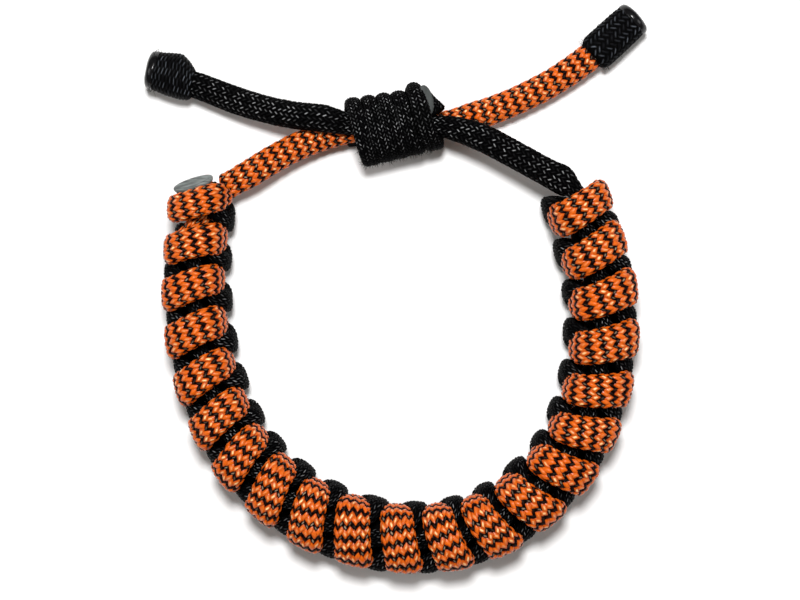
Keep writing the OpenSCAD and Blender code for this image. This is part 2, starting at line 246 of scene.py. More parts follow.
# Its coil: first and last angle and the step between sections, where 0 is the knot's far edge and
# 90 its top, where angle 0 starts, the length of one wrap, and the cord's half width and thickness
COIL_ANGLES = (-110, 1886, 12)
COIL_START = -6.5
WRAP_PITCH = 2.5
WRAP_HALF_W = 1.15
WRAP_HALF_T = 1.0
# From and to which angle the fifth wrap is raised, from which one the last is tucked in, over how
# many degrees, and how far each of them then lies sideways and upwards
RAISED = (1340, 1590)
TUCKED = 1750
EASE_ANGLE = 80
RAISE = (0.6, 1.0)
TUCK = (-1.0, -1.7)
# How far the wraps are shifted along the knot. Columns: angle, shift.
WRAP_SHIFTS = [
    (100, -0.05), (300, 0), (1200, 0), (1440, 0.25), (1540, 0.15), (1620, 0.7), (1710, 0.75),
    (1775, -0.8), (1842, -0.4), (1885, 0.5),
]

# The knot's cut end: its middle in the knot's own frame, and its half width and half thickness
KNOT_CUT = (5.35, 2.7, 3.75)
KNOT_CUT_HALF = (2.5, 1.1)

# The melted bead of a cut end. Columns: distance, added half width, share of the half width.
BEAD = (
    (-0.1, -0.25, 1), (0.1, 0.02, 1), (0.35, 0.14, 1), (0.6, 0.17, 1), (0.8, 0.1, 1), (0.9, -0.06, 1),
    (0.86, -0.1, 0.86), (0.8, -0.1, 0.6), (0.78, -0.1, 0.3),
)

# The sleeves: place of the mouth, turn, and rounds from the mouth to the tip with the columns
# place along, place sideways, radius
SLEEVES = {
    "orange_sleeve": ((32.12, 45.05, 3.2), 42.5, [
        (0, 0, 2.6), (0.15, 0, 2.7), (0.6, 0, 2.92), (1.1, 0, 3.1), (1.5, 0, 3.15),
        (4.0, 0, 3.14), (6.5, 0, 3.1), (8.6, 0, 3.02), (9.4, 0, 3.0)]),
    "black_sleeve": ((-34.6, 41.3, 3.75), 167, [
        (-0.7, 0.95, 2.35), (-0.55, 0.95, 2.5), (0.45, 0.53, 3.15), (1.5, 0.19, 3.55), (2.2, 0, 3.7),
        (3.8, 0, 3.55), (5.2, 0, 3.3), (6.45, 0, 3.12), (6.65, 0, 3.1)]),
}
# How they are braided. Columns: sleeve, ring, columns, shape of the yarns, seed.
SLEEVE_BRAIDS = (
    ("orange_sleeve", 1.8, 9, "long", 61),
    ("black_sleeve", 1.25, 9, "steep", 71),
)
# A sleeve's melted tip. Columns of its side: distance back from the end, height over the sheath.
# Columns of its end: distance ahead, share of the last round.
TIP_SIDE = ((0.85, -0.12), (0.7, 0.05), (0.4, 0.08), (0.1, 0.05))
TIP_END = ((0.35, 0.96), (0.6, 0.86), (0.75, 0.7), (0.72, 0.45), (0.6, 0.2))

# How a yarn lies in its cell. Columns: length across, width across, length along, width along, in
# shares of a column and of half a ring, and how far it is lifted.
YARN_SHAPES = {
    "bold": (0.54, 0.375, 0.50, 0.40, 0.06),
    "slim": (0.48, 0.27, 0.41, 0.30, -0.03),
    "long": (0.50, 0.24, 0.52, 0.24, 0.0),
    "steep": (0.72, 0.10, 0.20, 0.36, 0.0),
}
# How far the edges of a yarn lie below the sheath, and how low a cord's core lies below it
YARN_SINK = 0.12
CORE_SINK = 0.26
# No point of a sheath or a fibre lies lower than this
LOWEST = 0.02

# Loose fibres. Columns: cord or sleeve, first and last share of its length, first and last share
# of the way round, count, length.
FIBRES = (
    ("slide_knot", 0.0, 1.0, 0.0, 0.5, 2600, 0.8),
    ("orange_sleeve", 0.0, 0.08, 0.0, 1.0, 60, 0.9),
    ("orange_sleeve", 0.1, 0.9, 0.0, 1.0, 50, 0.6),
    ("black_sleeve", 0.85, 1.0, 0.0, 1.0, 90, 1.0),
)
FIBRE_HALF_T = 0.035

# Finishes of the yarns. Columns: colour, share of each of its parts, colour of the painted shade
# at the edges, lighter colour, colour of the painted highlight, roughness, specular level, length
# of the painted highlight, how rare it is.
YARN_FINISHES = {
    "orange_yarn": ("orange", (1, 1, 1), (0.15, 0.009, 0.001), (0.74, 0.135, 0.005),
                    (1.0, 0.66, 0.30), 0.3, 0.2, 1.0, 1.6),
    "black_yarn": ("black", (1, 1, 1), (0.0003, 0.0003, 0.0003), (0.0018, 0.0018, 0.0021),
                   (0.27, 0.275, 0.28), 0.45, 0.02, 1.0, 2.4),
    # Dark yarns of the orange cords: black with a painted brown reflection of the orange yarns beside
    # them
    "brown_yarn": ("black", (4.0, 0.9, 0.5), (0.0008, 0.0002, 0.0001), (0.010, 0.0022, 0.0012),
                   (0.30, 0.22, 0.15), 0.45, 0.05, 1.0, 2.4),
    "sleeve_yarn": ("black", (1, 1, 1), (0.0004, 0.0004, 0.0004), (0.003, 0.003, 0.004),
                    (0.085, 0.095, 0.11), 0.45, 0.03, 1.35, 2.4),
}
# Finishes of the cores and the melted ends. Columns: dark and light colour, or shares of the
# melted colour, scale, roughness, specular level, and where they have them bump, stretch, turn.
MOTTLED_FINISHES = {
    "black_core": ((0.0008, 0.0008, 0.0008), (0.0015, 0.0015, 0.0015), 2500, 0.8, 0.02),
    "orange_core": ((0.006, 0.002, 0.0015), (0.02, 0.004, 0.003), 2500, 0.8, 0.1),
    "melted_black": ((0.002, 0.002, 0.0025), (0.006, 0.006, 0.007), 900, 0.2, 0.3, 0.5),
    "knot_cut": (0.17, 0.34, 900, 0.5, 0.1, 0.25, (2.2, 0.25, 1), -11),
    "braid_cut": (0.38, 1.45, 1100, 0.45, 0.2, 0.3, (0.3, 2.4, 1), -20),
}

# The camera's place over the surface, in metres, and its lens
CAMERA_XY = (0.0002, 0.0046)
LENS = 102.27
SENSOR_WIDTH = 36
# The lamps. Columns: name, place and size in metres, share of the lamp power.
LAMPS = (
    ("overhead_lamp", (-0.01, 0.155, 0.52), 0.12, 1.0),
    ("left_lamp", (-0.42, 0.0, 0.34), 0.25, 0.14),
    ("right_lamp", (0.42, 0.0, 0.34), 0.25, 0.14),
)
LAMP_AIM = (0, 0.004, 0)


class CordSettings(bpy.types.PropertyGroup):
    """Sizes of the braided sheath of both cords"""

    ring: bpy.props.FloatProperty(
        name="Ring", description="Length of one bright and one dark ring of yarns",
        default=1.85 * MM, min=1.5 * MM, max=3 * MM, unit="LENGTH", precision=4)
    columns: bpy.props.IntProperty(
        name="Columns", description="Pairs of yarn columns around the cord", default=10, min=6, max=12)
    relief: bpy.props.FloatProperty(
        name="Relief", description="How far a yarn stands out of the cord",
        default=0.22 * MM, min=0, max=0.4 * MM, unit="LENGTH", precision=5)


class ColourSettings(bpy.types.PropertyGroup):
    """Colours of the yarns and of the melted ends"""

    orange: bpy.props.FloatVectorProperty(
        name="Orange", description="Colour of the bright yarns",
        default=(0.58, 0.086, 0.004), subtype="COLOR", min=0, max=1)
    black: bpy.props.FloatVectorProperty(
        name="Black", description="Colour of the dark yarns",
        default=(0.0012, 0.0012, 0.0014), subtype="COLOR", min=0, max=1)
    melted: bpy.props.FloatVectorProperty(
        name="Melted", description="Colour of the braid's melted cut end",
        default=(0.165, 0.185, 0.18), subtype="COLOR", min=0, max=1)


class StageSettings(bpy.types.PropertyGroup):
    """Camera height and lights"""

    camera_height: bpy.props.FloatProperty(
        name="Camera height", description="Height of the camera over the surface",
        default=0.381, min=0.2, max=1, unit="LENGTH")
    lamp_power: bpy.props.FloatProperty(
        name="Lamp power", description="Power of the lamp overhead",
        default=3.3, min=0, max=100, unit="POWER")
    fill: bpy.props.FloatProperty(
        name="Fill", description="Strength of the even light from all sides",
        default=0.14, min=0, max=5)


# Curves and sections
def unit(v):
    """Vectors of length 1 with the ways of v."""
    return v / np.maximum(np.linalg.norm(v, axis=-1, keepdims=True), 1e-12)


def ease(x):
    """A smooth step from 0 at x = 0 to 1 at x = 1."""
    t = np.clip(x, 0, 1)
    return t * t * (3 - 2 * t)


def curve(rows, u):
    """Smooth values through the rows of a table, whose first row is at u = 0."""
    rows = np.asarray(rows, float)
    last = len(rows) - 1
    i = np.clip(np.floor(u).astype(int), 0, last - 1)
    f = (u - i)[:, None]
    p1, p2 = rows[i], rows[i + 1]
    p0 = np.where((i > 0)[:, None], rows[np.maximum(i - 1, 0)], 2 * p1 - p2)
    p3 = np.where((i < last - 1)[:, None], rows[np.minimum(i + 2, last)], 2 * p2 - p1)
    return (2 * p1 + (p2 - p0) * f + (2 * p0 - 5 * p1 + 4 * p2 - p3) * f ** 2
            + (3 * p1 - p0 - 3 * p2 + p3) * f ** 3) / 2


def turned(x, y, degrees):
    """Places turned about the origin."""
    c, s = math.cos(math.radians(degrees)), math.sin(math.radians(degrees))
    return x * c - y * s, x * s + y * c


def sections(places, outward, half_w, half_t, hand):
    """Middle, side end and outer end of each section of a cord along its places."""
    along = unit(np.vstack([places[1:], places[-1:]]) - np.vstack([places[:1], places[:-1]]))
    out = unit(outward - (outward * along).sum(1, keepdims=True) * along)
    side = hand * np.cross(along, out)
    return places, places + half_w[:, None] * side, places + half_t[:, None] * out


def route_sections(rows):
    """Sections of a loose cord, its thickness upwards, none of them in the core of the braid."""
    t = curve(rows, np.arange(0, len(rows) - 0.99, 0.5))
    parts = sections(t[:, :3], (0, 0, 1), t[:, 3], t[:, 4], -1)
    return [*parts, np.zeros((len(t), 1))]


def shown(rows):
    """Rows of a table of wraps, marked as outside the core."""
    return [(*r, 0) for r in rows]


def wrap_rows(wrap, k, first, last):
    """Rows first to last of the wrap number k, each with a mark for the core."""
    return [(wrap[i][0] + k, *wrap[i][1:], float(i in CORE_ROWS)) for i in range(first, last + 1)]


def whole_wraps(wrap, first, last):
    """All rows of the wraps number first to last."""
    return [r for k in range(first, last + 1) for r in wrap_rows(wrap, k, 0, len(wrap) - 1)]


def bent(p, side):
    """Places on the bent braid of places on the straight one. side is -1 for the black strand."""
    n, z = side * np.array(turned(p[:, 1], p[:, 2], -BRAID_ROLL))
    # Two wraps to a row of the line, and a wrap's top is a quarter of the way along it
    u = 1 + (p[:, 0] / PITCH - 0.25) / 2
    lean, width, back, outwards = curve(BRAID_LINE, u)[:, 2:].T
    n = n * width + outwards * (side < 0)
    u = u + n * np.tan(np.radians(lean)) / PITCH / 2 - back * (side < 0)
    c = curve(BRAID_LINE, u)
    t = unit((curve(BRAID_LINE, u + 0.02) - curve(BRAID_LINE, u - 0.02))[:, :2])
    return np.column_stack([c[:, 0] + n * t[:, 1], c[:, 1] - n * t[:, 0], BRAID_Z + z])


def wrap_sections(rows, side):
    """Sections of a strand's wraps, bent with the braid."""
    t = np.array(rows, float)
    places = t[:, :3] * (PITCH, 1, 1)
    facing = np.radians(t[:, 5])
    outward = np.column_stack([np.zeros(len(t)), np.cos(facing), np.sin(facing)])
    parts = sections(places, outward, t[:, 3], t[:, 4], 1)
    return [*(bent(p, side) for p in parts), t[:, 6:7]]


def joined(*parts):
    """One run of sections out of several."""
    return [np.vstack(p) for p in zip(*parts)]


def strand_orange():
    """Sections of the orange strand: its lead, the steps round its first wrap and its wraps."""
    rows = (shown(ORANGE_START + ORANGE_STEP) + wrap_rows(ORANGE_WRAP, 1, 6, 13)
            + whole_wraps(ORANGE_WRAP, 2, WRAPS - 1))
    return joined(route_sections(ORANGE_LEAD), wrap_sections(rows, 1))


def strand_black():
    """Sections of the black strand: its first wraps, the others and its lead."""
    rows = (shown(BLACK_FIRST) + whole_wraps(BLACK_WRAP, 2, WRAPS - 1)
            + wrap_rows(BLACK_WRAP, WRAPS, 0, 0))
    return joined(wrap_sections(rows, -1), route_sections(BLACK_LEAD))


def in_knot(p):
    """Places in the bracelet of places in the knot's own frame."""
    return np.column_stack([*turned(p[:, 0], p[:, 1], KNOT_TURN), p[:, 2]]) + KNOT_PLACE


def coil():
    """Sections of the knot's coil, its wraps pressed side to side, apart from where they turn over
    the knot's far edge."""
    angle = np.arange(*COIL_ANGLES, dtype=float)
    turn = np.radians(angle)
    raised = ease((angle - RAISED[0]) / EASE_ANGLE) * ease((RAISED[1] - angle) / EASE_ANGLE)
    tucked = ease((angle - TUCKED) / EASE_ANGLE)
    x = COIL_START + WRAP_PITCH * angle / 360 + np.interp(angle, *zip(*WRAP_SHIFTS))
    half_w = KNOT_HALF_W - WRAP_HALF_T - KNOT_TAPER * x + RAISE[0] * raised + TUCK[0] * tucked
    half_h = KNOT_HALF_H - WRAP_HALF_T + RAISE[1] * raised + TUCK[1] * tucked
    places = np.column_stack([x, half_w * np.cos(turn), half_h * np.sin(turn)])
    pressed = ease((1 - np.cos(turn)) / 0.9)
    wide = WRAP_HALF_W + 0.12 + 0.18 * pressed + 0.05 * raised
    thick = WRAP_HALF_T + 0.4 * raised
    parts = sections(places, places * (0, 1, 1), wide, thick, -1)
    return [*(in_knot(p) for p in parts), -pressed[:, None]]


def sleeve_sections(name):
    """Rounds of a sleeve, the side one level."""
    place, turn, rounds = SLEEVES[name]
    t = np.array(rounds)
    middle = np.column_stack([*turned(t[:, 0], t[:, 1], turn), np.zeros(len(t))]) + place
    side = middle + t[:, 2:] * (*turned(0, -1, turn), 0)
    out = middle + t[:, 2:] * (0, 0, 1)
    return [middle, side, out, np.zeros((len(t), 1))]


class Sheath:
    """The surface of a cord, on which a place is a distance along, a share of the way round and a
    height over it. Where the cord is flat or pressed its section is a rounded rectangle.

    Its sections come as four arrays: middles, side ends, outer ends, and a mark that is 1 in the
    core of the braid and below 0 where the cord is pressed."""

    TURNS = 64
    SAMPLES = 12
    SQUARE_FLAT = 0.34
    SQUARE_PRESSED = 0.45

    def __init__(self, parts, step):
        middle, side, out, mark = parts
        table = np.hstack([middle, side - middle, out - middle, mark])
        fine = curve(table, np.linspace(0, len(table) - 1, self.SAMPLES * len(table)))
        run = np.concatenate([[0], np.cumsum(np.linalg.norm(np.diff(fine[:, :3], axis=0), axis=1))])
        self.length = run[-1]
        self.s = np.linspace(0, self.length, int(self.length / step) + 2)
        self.step = self.s[1]
        rows = np.column_stack([np.interp(self.s, run, c) for c in fine.T])
        wide = np.linalg.norm(rows[:, 3:6], axis=1)
        thick = np.linalg.norm(rows[:, 6:9], axis=1)
        self.core = (rows[:, 9] > 0.5).astype(float)
        pressed = np.clip(-rows[:, 9], 0, 1)
        flat = np.clip((wide / thick - 1) / 0.8, 0, 1)
        # 1 for an ellipse, and less the squarer the section is
        power = 1 - np.maximum(self.SQUARE_FLAT * flat, self.SQUARE_PRESSED * pressed)
        self.rows = np.column_stack([rows[:, :9], power])
        angle = np.linspace(0, 2 * np.pi, self.TURNS + 1)
        c, n = np.cos(angle), np.sin(angle)
        x = wide[:, None] * np.sign(c) * np.abs(c) ** power[:, None]
        y = thick[:, None] * np.sign(n) * np.abs(n) ** power[:, None]
        way = np.cumsum(np.hypot(np.diff(x, axis=1), np.diff(y, axis=1)), axis=1)
        way = np.column_stack([np.zeros(len(way)), way])
        share = np.linspace(0, 1, self.TURNS + 1)
        self.angles = np.array([np.interp(share, w / w[-1], angle) for w in way])

    def at(self, s, u, h=0.0):
        """Places and outward directions."""
        k = np.clip(np.asarray(s, float) / self.step, 0, len(self.s) - 1.001)
        i = k.astype(int)
        f = k - i
        row = self.rows[i] * (1 - f)[..., None] + self.rows[i + 1] * f[..., None]
        w = np.mod(u, 1.0) * self.TURNS
        j = np.minimum(w.astype(int), self.TURNS - 1)
        g = w - j
        angle = ((self.angles[i, j] * (1 - g) + self.angles[i, j + 1] * g) * (1 - f)
                 + (self.angles[i + 1, j] * (1 - g) + self.angles[i + 1, j + 1] * g) * f)
        c, n = np.cos(angle)[..., None], np.sin(angle)[..., None]
        side, out, power = row[..., 3:6], row[..., 6:9], row[..., 9:]
        facing = unit(np.sign(c) * np.abs(c) ** (2 - power) * side / (side ** 2).sum(-1, keepdims=True)
                      + np.sign(n) * np.abs(n) ** (2 - power) * out / (out ** 2).sum(-1, keepdims=True))
        place = (row[..., :3] + np.sign(c) * np.abs(c) ** power * side
                 + np.sign(n) * np.abs(n) ** power * out)
        return place + np.asarray(h)[..., None] * facing, facing


# Meshes
def add_object(name, data):
    """A new object in the scene."""
    obj = bpy.data.objects.new(name, data)
    bpy.context.scene.collection.objects.link(obj)
    return obj


def mesh_object(name, verts, faces, smooth=True):
    """A mesh object of places in millimetres and faces of one size."""
    mesh = bpy.data.meshes.new(name)
    mesh.vertices.add(len(verts))
    verts = np.maximum(np.asarray(verts, np.float32), (-np.inf, -np.inf, LOWEST))
    mesh.vertices.foreach_set("co", (verts * MM).astype(np.float32).ravel())
    corners = np.asarray(faces, np.int32)
    mesh.loops.add(corners.size)
    mesh.loops.foreach_set("vertex_index", corners.ravel())
    mesh.polygons.add(len(corners))
    starts = np.arange(len(corners), dtype=np.int32) * corners.shape[1]
    mesh.polygons.foreach_set("loop_start", starts)
    mesh.update(calc_edges=True)
    mesh.validate()
    mesh.polygons.foreach_set("use_smooth", np.full(len(corners), smooth))
    return add_object(name, mesh)


def ring_object(name, rings, smooth_ends=False):
    """A closed skin over rings of places."""
    bm = bmesh.new()
    loops = [[bm.verts.new(Vector(p) * MM) for p in ring] for ring in rings]
    count = len(loops[0])
    for a, b in zip(loops, loops[1:]):
        for i in range(count):
            j = (i + 1) % count
            bm.faces.new((a[i], a[j], b[j], b[i]))
    bm.faces.new(loops[0][::-1])
    bm.faces.new(loops[-1])
    bmesh.ops.recalc_face_normals(bm, faces=bm.faces)
    mesh = bpy.data.meshes.new(name)
    bm.to_mesh(mesh)
    bm.free()
    for p in mesh.polygons:
        p.use_smooth = smooth_ends or len(p.vertices) == 4
    return add_object(name, mesh)


def tube(sheath, s, sides, sink):
    """Places on rounds of a cord, sunk below its surface."""
    u = np.arange(sides) / sides
    return sheath.at(*np.meshgrid(s, u, indexing="ij"), -sink)[0]


def core_object(name, sheath, sink=CORE_SINK, sides=20, step=0.8):
    """The closed core of a cord, a little under its yarns."""
    s = np.linspace(0, sheath.length, int(sheath.length / step) + 2)
    return ring_object(name, tube(sheath, s, sides, sink))


def yarn_template(parts):
    """One yarn's visible stretch, a small pillow: places along, across and up, and its faces."""
    bm = bmesh.new()
    bmesh.ops.create_grid(bm, x_segments=parts, y_segments=parts, size=1)
    for v in bm.verts:
        # More points near the ends and sides, where the pillow curves down and draws in
        q = math.copysign(abs(v.co.x) ** 0.8, v.co.x)
        r = math.copysign(abs(v.co.y) ** 0.75, v.co.y)
        top = (1 - 0.95 * q ** 4) * (1 - 1.15 * r * r)
        v.co = (q * (1 - 0.12 * r * r), r * (1 - 0.2 * q ** 4), top)
    bm.verts.index_update()
    verts = np.array([v.co[:] for v in bm.verts])
    faces = np.array([[v.index for v in f.verts] for f in bm.faces])
    bm.free()
    return verts, faces


class Weave:
    """Where the yarns of a braided sheath come to the surface: x counts half rings along the cord
    and c yarn columns around it."""

    # A yarn is looked for from this height over it, this far, and along these leans of the sight
    # line, along and across the cord
    SIGHT_HEIGHT = 0.3
    SIGHT_REACH = 12.0
    SIGHT_WAYS = ((0, 0), (1, 0), (-1, 0), (0, 1), (0, -1), (2.4, 0), (-2.4, 0), (0, 2.4), (0, -2.4))

    def __init__(self, sheath, ring, columns):
        self.sheath = sheath
        self.columns = columns
        self.half = ring / 2
        last = sheath.length / self.half
        c, a = (grid.ravel() for grid in np.meshgrid(
            np.arange(2 * columns), np.arange(int(last) + 1), indexing="ij"))
        even = c % 2 == 0
        self.dark = a % 2 == 1
        self.x = a + 0.5 * even
        self.c = c + 0.5
        self.slant = np.where(even, 1.0, -1.0)
        self.keep((self.x > 0.4) & (self.x < last - 0.4))

    def keep(self, mask):
        """Leaves out the yarns that the mask doesn't pick."""
        for name in ("x", "c", "slant", "dark"):
            setattr(self, name, getattr(self, name)[mask])

    def spots(self, ahead=0.0):
        """Place and outward direction over the middle of each yarn, or ahead of it."""
        s = self.x * self.half + ahead
        return self.sheath.at(s, self.c / (2 * self.columns), self.SIGHT_HEIGHT)

    def cull(self, tree, hidden_core):
        """Leaves out the yarns that nobody can see, and the ones of the core on the side that
        hidden_core gives: 1 for the upper, -1 for the lower."""
        places, facing = self.spots()
        if hidden_core:
            core = np.interp(self.x * self.half, self.sheath.s, self.sheath.core) > 0.5
            lit = ~(core & (hidden_core * facing[:, 2] > -0.35))
            self.keep(lit)
            places, facing = places[lit], facing[lit]
        along = unit(self.spots(0.4)[0] - places)
        across = np.cross(facing, along)
        seen = np.zeros(len(self.x), bool)
        for lean_along, lean_across in self.SIGHT_WAYS:
            rays = unit(facing + lean_along * along + lean_across * across)
            for i in np.nonzero(~seen)[0]:
                hit = tree.ray_cast(Vector(places[i]), Vector(rays[i]), self.SIGHT_REACH)[0]
                seen[i] = hit is None
        self.keep(seen)

    def mesh(self, name, mask, relief, seed, shape):
        """One mesh of the yarns that the mask picks."""
        t_verts, t_faces = yarn_template(4 if shape in ("bold", "slim") else 3)
        q, r, top = t_verts.T
        long_c, wide_c, long_a, wide_a, lift = YARN_SHAPES[shape]
        x, c, slant = (v[mask][:, None] for v in (self.x, self.c, self.slant))
        rng = np.random.default_rng(seed)

        def spread(low, high):
            return rng.uniform(low, high, len(x))[:, None]

        length, width = 1 + spread(-0.06, 0.06), 1 + spread(-0.08, 0.04)
        across = slant * (long_c * length * q - wide_c * width * r)
        along = long_a * length * q + wide_a * width * r
        u = (c + spread(-0.04, 0.04) + across) / (2 * self.columns)
        s = (x + spread(-0.04, 0.04) + along) * self.half
        h = relief * (top + spread(-0.12, 0.12)) - YARN_SINK + lift
        places, _ = self.sheath.at(s, u, h)
        # Painted light: yarns that face sideways get a lower tone, which weakens their painted
        # highlight
        level = self.sheath.at(x * self.half, c / (2 * self.columns))[1][..., 2]
        tones_and_painted_light = spread(0, 1) * (0.45 + 0.55 * ease((level - 0.35) / 0.4))
        faces = t_faces[None] + (np.arange(len(x)) * len(t_verts))[:, None, None]
        flip = slant[:, 0] < 0
        faces[flip] = faces[flip][:, :, ::-1]
        obj = mesh_object(name, places.reshape(-1, 3), faces.reshape(-1, 4))
        uv = np.column_stack([r * 0.5 + 0.5, q * 0.5 + 0.5])
        loops = np.empty(len(obj.data.loops), np.int32)
        obj.data.loops.foreach_get("vertex_index", loops)
        layer = obj.data.uv_layers.new(name="yarn")
        layer.data.foreach_set("uv", uv[loops % len(t_verts)].astype(np.float32).ravel())
        tone = obj.data.attributes.new("tone", "FLOAT", "POINT")
        tone.data.foreach_set("value", np.repeat(tones_and_painted_light, len(t_verts)).astype(np.float32))
        return obj


def fibres_object(name, roots, ways, length, seed):
    """Loose fibres: thin bent three-sided spikes, from their roots along their ways."""
    rng = np.random.default_rng(seed)
    verts, faces = [], []
    steps = 4
    for root, way in zip(roots, ways):
        way = unit(way + rng.normal(0, 0.35, 3))
        bend = rng.normal(0, 0.35, 3)
        long = length * rng.uniform(0.4, 1.0)
        a = unit(np.cross(way, (0.3, 0.5, 0.8)))
        b = np.cross(way, a)
        base = len(verts)
        for k in range(steps):
            f = k / steps
            middle = root + way * long * f + bend * long * f * f
            r = FIBRE_HALF_T * (1 - 0.8 * f)
            verts += [middle + r * (math.cos(2.1 * i) * a + math.sin(2.1 * i) * b) for i in range(3)]
        verts.append(root + way * long + bend * long)
        tip = base + 3 * steps
        for k in range(steps - 1):
            for i in range(3):
                p, q = base + 3 * k + i, base + 3 * k + (i + 1) % 3
                faces += [(p, q, q + 3), (p, q + 3, p + 3)]
        faces += [(tip - 3 + i, tip - 3 + (i + 1) % 3, tip) for i in range(3)]
        faces.append((base + 2, base + 1, base))
    return mesh_object(name, verts, faces, smooth=False)


# Materials
def fill(tree, target, inputs):
    """Gives a node's inputs, by name or number, their values or the sockets that they follow."""
    for key, value in inputs.items():
        if isinstance(value, bpy.types.NodeSocket):
            tree.links.new(value, target.inputs[key])
        else:
            target.inputs[key].default_value = value


def node(tree, kind, inputs, **settings):
    """The outputs of a new node."""
    new = tree.nodes.new("ShaderNode" + kind)
    for name, value in settings.items():
        setattr(new, name, value)
    fill(tree, new, inputs)
    return new.outputs


def maths(tree, operation, *values):
    """The result of a Math node."""
    return node(tree, "Math", dict(enumerate(values)), operation=operation)[0]


def ramp(tree, value, low, high, start=0.0, end=1.0, kind="LINEAR"):
    """The result of a Map Range node: start where the value is low, end where it is high."""
    inputs = {"Value": value, "From Min": low, "From Max": high, "To Min": start, "To Max": end}
    return node(tree, "MapRange", inputs, interpolation_type=kind)["Result"]


def mixed(tree, factor, a, b):
    """A mix of two colours, each of them three numbers or a socket."""
    a, b = (c if isinstance(c, bpy.types.NodeSocket) else (*c, 1) for c in (a, b))
    # The colour sockets of a Mix node are number 6 and 7, and its colour comes out of number 2
    return node(tree, "Mix", {"Factor": factor, 6: a, 7: b}, data_type="RGBA")[2]


def relief_normal(tree, height, strength, depth):
    """The normal of a Bump node, its depth in millimetres."""
    inputs = {"Height": height, "Strength": strength, "Distance": depth * MM}
    return node(tree, "Bump", inputs)["Normal"]


def new_group(name, inputs, outputs):
    """A node group with its inputs and outputs, as a tree, what goes in and what comes out."""
    tree = bpy.data.node_groups.new(name, "ShaderNodeTree")
    for sockets, way in ((inputs, "INPUT"), (outputs, "OUTPUT")):
        for socket, kind in sockets.items():
            tree.interface.new_socket(name=socket, in_out=way, socket_type="NodeSocket" + kind)
    return tree, tree.nodes.new("NodeGroupInput").outputs, tree.nodes.new("NodeGroupOutput")


@functools.cache
def fibre_group():
    """Node group: fine fibres along a yarn. It puts out their height and shade, how near the
    yarn's edge is, for painted shade there, the yarn's tone, random and lower as painted light where
    it faces sideways, and a painted highlight along its crest."""
    tree, given, out = new_group(
        "yarn_fibres", dict.fromkeys(("Fibres", "Stroke", "Rarity"), "Float"),
        dict.fromkeys(("Height", "Shade", "Edge", "Tone", "Crest"), "Float"))
    across, along, _ = node(tree, "SeparateXYZ", {0: node(tree, "UVMap", {}, uv_map="yarn")["UV"]})
    tone = node(tree, "Attribute", {}, attribute_name="tone")["Fac"]
    twisted = maths(tree, "MULTIPLY_ADD", along, 1.3, maths(tree, "MULTIPLY", across, given["Fibres"]))
    other = maths(tree, "MULTIPLY", tone, 91.0)
    spot = node(tree, "CombineXYZ", {"X": twisted, "Y": along, "Z": other})[0]
    height = node(tree, "TexNoise", {"Vector": spot, "Scale": 1.0, "Detail": 2.0})["Fac"]
    # 0 in the middle of the yarn, 0.5 at its sides and ends
    aside, ahead = (maths(tree, "ABSOLUTE", maths(tree, "SUBTRACT", part, 0.5))
                    for part in (across, along))
    # Painted shade at the yarn's sides and ends, where it dips under its neighbours
    painted_edge_shade = ramp(tree, maths(tree, "MAXIMUM", aside, ahead), 0.34, 0.5, kind="SMOOTHSTEP")
    # A painted highlight: a thin line along the top of the yarn, brighter on some yarns than on others
    ahead = maths(tree, "DIVIDE", ahead, given["Stroke"])
    line = maths(tree, "MULTIPLY", ramp(tree, aside, 0.06, 0.24, 1.0, 0.0, "SMOOTHSTEP"),
                 ramp(tree, ahead, 0.1, 0.32, 1.0, 0.0, "SMOOTHSTEP"))
    painted_highlight_mask = maths(tree, "MULTIPLY", line, maths(tree, "POWER", tone, given["Rarity"]))
    shade = ramp(tree, height, 0.3, 0.7)
    fill(tree, out, {"Height": height, "Shade": shade, "Edge": painted_edge_shade, "Tone": tone, "Crest": painted_highlight_mask})
    return tree


@functools.cache
def mottle_group():
    """Node group: soft mottling at a place, with a height for relief."""
    tree, given, out = new_group("mottle", {"Place": "Vector"}, {"Mottle": "Float", "Height": "Float"})
    height = node(tree, "TexNoise", {"Vector": given["Place"], "Scale": 1.0, "Detail": 3.0})["Fac"]
    fill(tree, out, {"Mottle": ramp(tree, height, 0.3, 0.7), "Height": height})
    return tree


def new_material(name):
    """A material, its node tree and its shader."""
    mat = bpy.data.materials.new(name)
    mat.use_nodes = True
    return mat, mat.node_tree, mat.node_tree.nodes["Principled BSDF"]


def yarn_material(name, colour, painted_edge_shade, light, painted_highlight_colour, roughness, specular, stroke, rarity):
    """Nylon yarn: fine fibres along it, with painted shade at its edges and a painted highlight
    along its top, a little different from yarn to yarn."""
    mat, tree, shader = new_material(name)
    inputs = {"Fibres": 8.0, "Stroke": stroke, "Rarity": rarity}
    fibres = node(tree, "Group", inputs, node_tree=fibre_group())
    base = mixed(tree, fibres["Shade"], colour, light)
    # Darker by the yarn's tone, which is random and lower where the yarn faces sideways
    base = mixed(tree, ramp(tree, fibres["Tone"], 0.0, 1.0, 0.0, 0.3), base, painted_edge_shade)
    # Painted shade: darker towards the yarn's sides and ends
    base = mixed(tree, fibres["Edge"], base, painted_edge_shade)
    fill(tree, shader, {
        # Painted highlight along the yarn's crest, mixed into the base colour
        "Base Color": mixed(tree, fibres["Crest"], base, painted_highlight_colour),
        "Roughness": ramp(tree, fibres["Shade"], 0.0, 1.0, roughness - 0.06, roughness + 0.1),
        "Specular IOR Level": specular,
        "Normal": relief_normal(tree, fibres["Height"], 0.3, 0.06),
    })
    return mat


